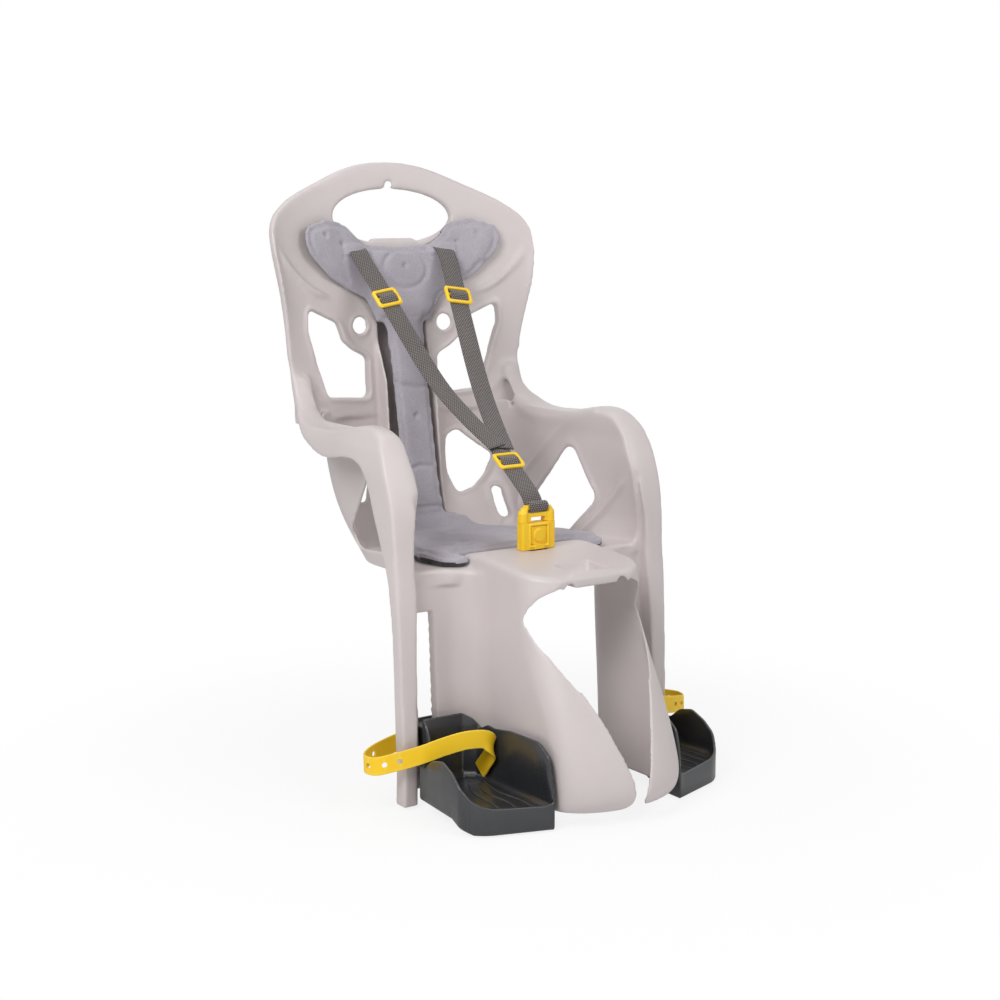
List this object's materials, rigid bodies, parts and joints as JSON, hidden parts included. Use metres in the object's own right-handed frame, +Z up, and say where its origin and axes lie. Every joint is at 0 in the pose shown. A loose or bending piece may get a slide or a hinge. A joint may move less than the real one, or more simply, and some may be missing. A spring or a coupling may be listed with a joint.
{
  "type": "child bike seat",
  "caption": "Rear child bike seat: moulded high-back shell with armrests and leg guard, soft liner, webbing harness with push-button buckle, and sliding footrests with rubber straps.",
  "frame": {"origin": "the middle of the ground plane under the rails and footrests, half way between the guard's nose and the back's rear face", "axes": "+X towards the child's left hand seen from the front, across the seat; -Y the way the child faces; +Z up"},
  "size_m": [0.461, 0.558, 0.752],
  "materials": {
    "shell": "satin moulded polypropylene, warm light grey",
    "liner": "soft closed-cell foam with a fine fabric face, lilac grey",
    "webbing": "woven polyester webbing, dark grey",
    "yellow_plastic": "bright yellow nylon",
    "yellow_rubber": "yellow elastomer strap",
    "charcoal_plastic": "dark charcoal polypropylene",
    "black_plastic": "black nylon",
    "steel": "zinc-plated steel"
  },
  "bodies": {
    "seat": {"shell": "shell", "liner": "liner", "shoulder_strap_left": "webbing", "shoulder_strap_right": "webbing", "crotch_strap": "webbing", "strap_bar_left": "steel", "strap_bar_right": "steel", "buckle_body": "yellow_plastic", "buckle_tongue": "yellow_plastic", "buckle_spring": "steel", "buckle_anchor": "black_plastic"},
    "adjuster_left": {"shoulder_slider_left": "yellow_plastic", "slider_loop_left": "webbing"},
    "adjuster_right": {"shoulder_slider_right": "yellow_plastic", "slider_loop_right": "webbing"},
    "chest_adjuster": {"chest_slider": "yellow_plastic", "chest_loop": "webbing"},
    "button": {"buckle_button": "yellow_plastic"},
    "footrest_assembly_left": {"footrest_left": "charcoal_plastic", "footrest_latch_left": "black_plastic", "foot_strap_left": "yellow_rubber", "strap_stud_left": "black_plastic"},
    "footrest_assembly_right": {"footrest_right": "charcoal_plastic", "footrest_latch_right": "black_plastic", "foot_strap_right": "yellow_rubber", "strap_stud_right": "black_plastic"}
  },
  "joints": [
    {"name": "footrest_slide_left", "type": "slide", "parent": "seat", "child": "footrest_assembly_left", "axis": [0, 0.0597, 0.9982], "range_m": [0, 0.1]},
    {"name": "footrest_slide_right", "type": "slide", "parent": "seat", "child": "footrest_assembly_right", "axis": [0, 0.0597, 0.9982], "range_m": [0, 0.1]},
    {"name": "adjuster_slide_left", "type": "slide", "parent": "seat", "child": "adjuster_left", "axis": [0.1722, -0.6223, -0.7636], "range_m": [-0.03, 0.06]},
    {"name": "adjuster_slide_right", "type": "slide", "parent": "seat", "child": "adjuster_right", "axis": [-0.1722, -0.6223, -0.7636], "range_m": [-0.03, 0.06]},
    {"name": "chest_adjuster_slide", "type": "slide", "parent": "seat", "child": "chest_adjuster", "axis": [0, -0.8079, -0.5894], "range_m": [0, 0.02]},
    {"name": "buckle_press", "type": "slide", "parent": "seat", "child": "button", "axis": [0, 1, 0], "range_m": [0, 0.002], "stiffness_N_per_m": 800, "springref_m": -0.002, "deforming": ["buckle_spring"]}
  ]
}
